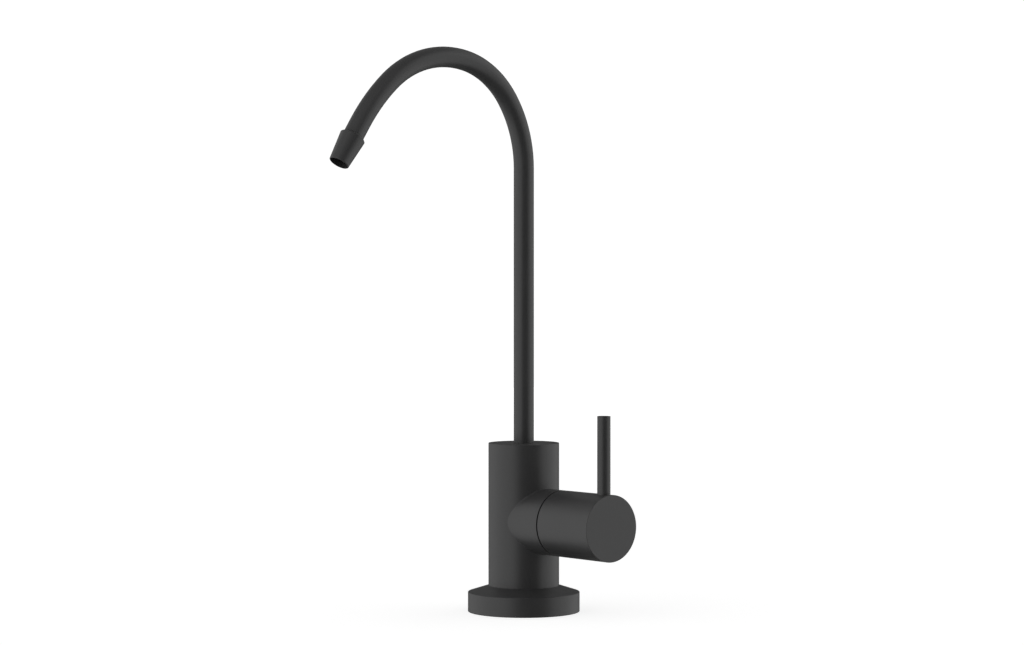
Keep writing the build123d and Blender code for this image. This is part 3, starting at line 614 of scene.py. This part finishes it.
def ceramic_material():
    """Alumina: grains too small to see singly, with slow clouds of tone, and smooth where it is lapped."""
    material, tree, shader, place = start_material("alumina")
    grain = use_group(tree, fine_grain, {"Place": place, "Grains per metre": ALUMINA_GRAINS_PER_METRE})
    facing = add(tree, "ShaderNodeNewGeometry", {})
    parts = add(tree, "ShaderNodeSeparateXYZ", {"Vector": facing.outputs["True Normal"]})
    end_on = calc(tree, "ABSOLUTE", parts.outputs["X"])
    fired = calc(tree, "LESS_THAN", end_on, END_FACE_FROM)
    cloudy = spread(tree, grain.outputs["Broad"], 0.0, ALUMINA_CLOUD_SHARE)
    share = calc(tree, "MAXIMUM", fired, cloudy)
    tree.links.new(blend_colour(tree, share, ALUMINA_LAPPED, ALUMINA_FIRED), shader.inputs["Base Color"])
    smooth = spread(tree, grain.outputs["Fine"], ALUMINA_SMOOTH, ALUMINA_ROUGH)
    rougher = calc(tree, "MULTIPLY_ADD", fired, ALUMINA_FIRED_ROUGHER, smooth)
    tree.links.new(rougher, shader.inputs["Roughness"])
    shader.inputs["Specular IOR Level"].default_value = ALUMINA_SPECULAR
    raise_surface(tree, shader, grain.outputs["Fine"], ALUMINA_BUMP, ALUMINA_BUMP_DEPTH)
    return material


alumina = ceramic_material()
dress("fixed_ceramic_disc", alumina)
dress("moving_ceramic_disc", alumina)

# Cartridge spindle
# The brass spindle, turned on the same axis, with a milled tongue and flat. It passes the hub's turn
# on to the moving disc.
dress("cartridge_spindle", cartridge_brass)

# Thrust washer
# A slippery white washer between the spindle's foot and the headwork, cut from skived tape.
SLIPPERY_WHITE = (0.83, 0.83, 0.82)
SLIPPERY_CLOUD = (0.74, 0.75, 0.76)
SLIPPERY_SMOOTH, SLIPPERY_ROUGH = 0.26, 0.36
slippery_plastic = moulded_material(
    "slippery_plastic", SLIPPERY_WHITE, SLIPPERY_CLOUD, SLIPPERY_SMOOTH, SLIPPERY_ROUGH
)
dress("thrust_washer", slippery_plastic)

# Spindle O-ring
# The moulded ring in the spindle's groove.
dress("spindle_o_ring", moulded_rubber)

# Spindle snap ring
# An open ring stamped from hardened spring steel, sprung into the spindle's outer groove.
dress("spindle_snap_ring", spring_steel)

# Handle hub
# The round hub, turned from brass and coated like the body. It covers the headwork, and its end face
# is plain.
dress("handle_hub", black_coating)

# Lever rod
# A straight brass rod with the same coat, screwed into the top of the hub.
dress("lever_rod", black_coating)

# Hub grub screw
# A small stainless screw under the hub, with a hexagon socket, that bears on the spindle's flat.
SCREW_SMOOTH, SCREW_ROUGH = 0.22, 0.36
screw_steel = steel_material("screw_steel", STEEL_BRIGHT, HARDENED_BRIGHT, SCREW_SMOOTH, SCREW_ROUGH)
dress("hub_grub_screw", screw_steel)

# Spout tube
# A drawn tube bent to the gooseneck in four steps and coated, so that it shows no seam.
dress("spout_tube", black_coating)

# Spout nozzle
# The tapered outlet, turned, coated and fixed over the tube's end.
dress("spout_nozzle", black_coating)

# Spout adapter
# The brass end that is brazed into the tube, grooved for its rings. It turns inside the body.
dress("spout_adapter", turned_brass)

# Spout O-rings
# Two moulded rings that seal the adapter in the body.
dress("spout_o_rings", moulded_rubber)

# Spout retaining clip
# An open ring of spring steel wire, sprung into the body's groove, that keeps the spout down.
dress("spout_retaining_clip", spring_steel)

# Spout bearing
# A split sleeve of slippery plastic round the adapter, in the mouth of the body.
dress("spout_bearing", slippery_plastic)

# Studio
# A white floor in front of white, a wide soft panel on each side of the camera, a weak lamp over it and
# a dim tent that is lighter overhead. The camera stands level with the spout's middle, to the user's right.
camera_azimuth = radians(49.81)
camera_pitch = radians(1.17)
camera_place = Vector((0.9681, -0.8250, 0.1603))
LENS = 96.25
SENSOR = 36.0
TENT_RADIUS = 2.6
TENT_AROUND, TENT_UP = 64, 32
TENT_GLOW = 0.10
TENT_TOP_GLOW = 0.30
TENT_TOP_ANGLES = (20.0, 50.0)
TENT_LOW_GLOW = 0.08
TENT_LOW_ANGLES = (-60.0, -25.0)
FLOOR_SIZE = 3.6
FLOOR_TONE = 0.8
FLOOR_WHITE = 2.15
FLOOR_WHITE_RISE = 0.18
FLOOR_WHITE_SHARE = 0.35
WORLD_WHITE = 1.04


def studio_camera():
    """The camera at the photograph's place."""
    flat = cos(camera_pitch)
    forward = Vector((-sin(camera_azimuth) * flat, cos(camera_azimuth) * flat, -sin(camera_pitch)))
    camera = bpy.data.objects.new("camera", bpy.data.cameras.new("camera"))
    camera.data.sensor_width = SENSOR
    camera.data.lens = LENS
    camera.location = camera_place
    camera.rotation_euler = forward.to_track_quat("-Z", "Y").to_euler()
    scene.collection.objects.link(camera)
    return camera


scene.camera = studio_camera()


def ramp(tree, value, start, end, low, high):
    """A smooth step from low to high as the value goes from start to end, both in degrees."""
    node = add(tree, "ShaderNodeMapRange", {
        "Value": value, "From Min": radians(start), "From Max": radians(end), "To Min": low, "To Max": high,
    }, interpolation_type="SMOOTHSTEP")
    return node.outputs["Result"]


def rise_and_fall(tree, value, angles, strength):
    """Grows to its strength between the first two angles, and goes back to nothing between the last two."""
    start, full, fade, end = angles
    rise = ramp(tree, value, start, full, 0.0, 1.0)
    fall = ramp(tree, value, fade, end, strength, 0.0)
    return calc(tree, "MULTIPLY", rise, fall)


# Angles from the camera's direction at which each panel begins, is full, fades and ends,
# the angles above and below level at which it begins to fade and ends, and its strength
PANELS = [
    ((-8.0, -36.0, -85.0, -178.0), 26.0, 50.0, 0.95),
    ((44.0, 66.0, 105.0, 172.0), 30.0, 62.0, 0.94),
]

# The same angles for the lamp over the camera, across and above level, and its strength
LAMP_ACROSS = (-90.0, -60.0, 15.0, 50.0)
LAMP_ABOVE = (14.0, 32.0, 55.0, 80.0)
LAMP_GLOW = 0.28


def tent_material():
    """Glow by direction: a soft panel on the left and one on the right, and a weak lamp over the camera."""
    material = bpy.data.materials.new("tent")
    material.use_nodes = True
    tree = material.node_tree
    tree.nodes.clear()
    place = add(tree, "ShaderNodeTexCoord", {}).outputs["Object"]
    turned = add(tree, "ShaderNodeMapping", {"Vector": place, "Rotation": (0.0, 0.0, -camera_azimuth)})
    unit = add(tree, "ShaderNodeVectorMath", {0: turned.outputs["Vector"]}, operation="NORMALIZE")
    parts = add(tree, "ShaderNodeSeparateXYZ", {"Vector": unit.outputs["Vector"]})
    ahead = calc(tree, "MULTIPLY", parts.outputs["Y"], -1.0)
    angle = calc(tree, "ARCTAN2", parts.outputs["X"], ahead)
    height = calc(tree, "ARCSINE", parts.outputs["Z"])
    tilt = calc(tree, "ABSOLUTE", height)
    glow = ramp(tree, height, *TENT_TOP_ANGLES, TENT_GLOW, TENT_TOP_GLOW)
    glow = calc(tree, "ADD", glow, ramp(tree, height, *TENT_LOW_ANGLES, TENT_LOW_GLOW, 0.0))
    lamp_across = rise_and_fall(tree, angle, LAMP_ACROSS, 1.0)
    lamp_above = rise_and_fall(tree, height, LAMP_ABOVE, LAMP_GLOW)
    glow = calc(tree, "ADD", glow, calc(tree, "MULTIPLY", lamp_across, lamp_above))
    for angles, tall, taller, strength in PANELS:
        across = rise_and_fall(tree, angle, angles, strength)
        panel = calc(tree, "MULTIPLY", across, ramp(tree, tilt, tall, taller, 1.0, 0.0))
        glow = calc(tree, "ADD", panel, glow)
    shine = add(tree, "ShaderNodeEmission", {"Strength": glow})
    add(tree, "ShaderNodeOutputMaterial", {"Surface": shine.outputs["Emission"]})
    return material


def tent():
    """The dim tent, which the camera looks through."""
    bm = bmesh.new()
    bmesh.ops.create_uvsphere(bm, u_segments=TENT_AROUND, v_segments=TENT_UP, radius=TENT_RADIUS)
    made = mesh_object("tent", bm, tent_material())
    made.visible_camera = False
    made.visible_shadow = False


tent()


def floor_material():
    """White to the camera, apart from the object's faint shadow, and seen through from below.

    The tent lights the floor less towards its rim, so the white of its own rises with the distance.
    """
    material = bpy.data.materials.new("floor")
    material.use_nodes = True
    tree = material.node_tree
    tree.nodes.clear()
    matt = add(tree, "ShaderNodeBsdfDiffuse", {"Color": (FLOOR_TONE, FLOOR_TONE, FLOOR_TONE, 1.0)})
    place = add(tree, "ShaderNodeTexCoord", {}).outputs["Object"]
    distance = add(tree, "ShaderNodeVectorMath", {0: place, 1: place}, operation="DOT_PRODUCT")
    strength = calc(tree, "MULTIPLY_ADD", distance.outputs["Value"], FLOOR_WHITE_RISE, FLOOR_WHITE)
    white = add(tree, "ShaderNodeEmission", {"Strength": strength})
    path = add(tree, "ShaderNodeLightPath", {})
    share = calc(tree, "MULTIPLY", path.outputs["Is Camera Ray"], FLOOR_WHITE_SHARE)
    upper = add(tree, "ShaderNodeMixShader", {
        0: share, 1: matt.outputs["BSDF"], 2: white.outputs["Emission"],
    })
    clear = add(tree, "ShaderNodeBsdfTransparent", {})
    side = add(tree, "ShaderNodeNewGeometry", {})
    both = add(tree, "ShaderNodeMixShader", {
        0: side.outputs["Backfacing"], 1: upper.outputs["Shader"], 2: clear.outputs["BSDF"],
    })
    add(tree, "ShaderNodeOutputMaterial", {"Surface": both.outputs["Shader"]})
    return material


def floor():
    """The floor, at the height of the worktop."""
    bm = bmesh.new()
    bmesh.ops.create_grid(bm, x_segments=1, y_segments=1, size=FLOOR_SIZE / 2)
    made = mesh_object("floor", bm, floor_material())
    made.visible_diffuse = False
    made.visible_glossy = False
    made.visible_shadow = False


floor()


def white_world():
    """White behind everything for the camera and for mirror-like rays, grey for soft light."""
    world = bpy.data.worlds.new("world")
    scene.world = world
    world.use_nodes = True
    tree = world.node_tree
    path = add(tree, "ShaderNodeLightPath", {})
    seen = calc(tree, "ADD", path.outputs["Is Camera Ray"], path.outputs["Is Glossy Ray"])
    seen = calc(tree, "ADD", seen, path.outputs["Is Transmission Ray"])
    tree.links.new(calc(tree, "MINIMUM", seen, 1.0), tree.nodes["Background"].inputs["Strength"])
    tree.nodes["Background"].inputs["Color"].default_value = (WORLD_WHITE, WORLD_WHITE, WORLD_WHITE, 1.0)


white_world()
scene.view_settings.view_transform = "Standard"
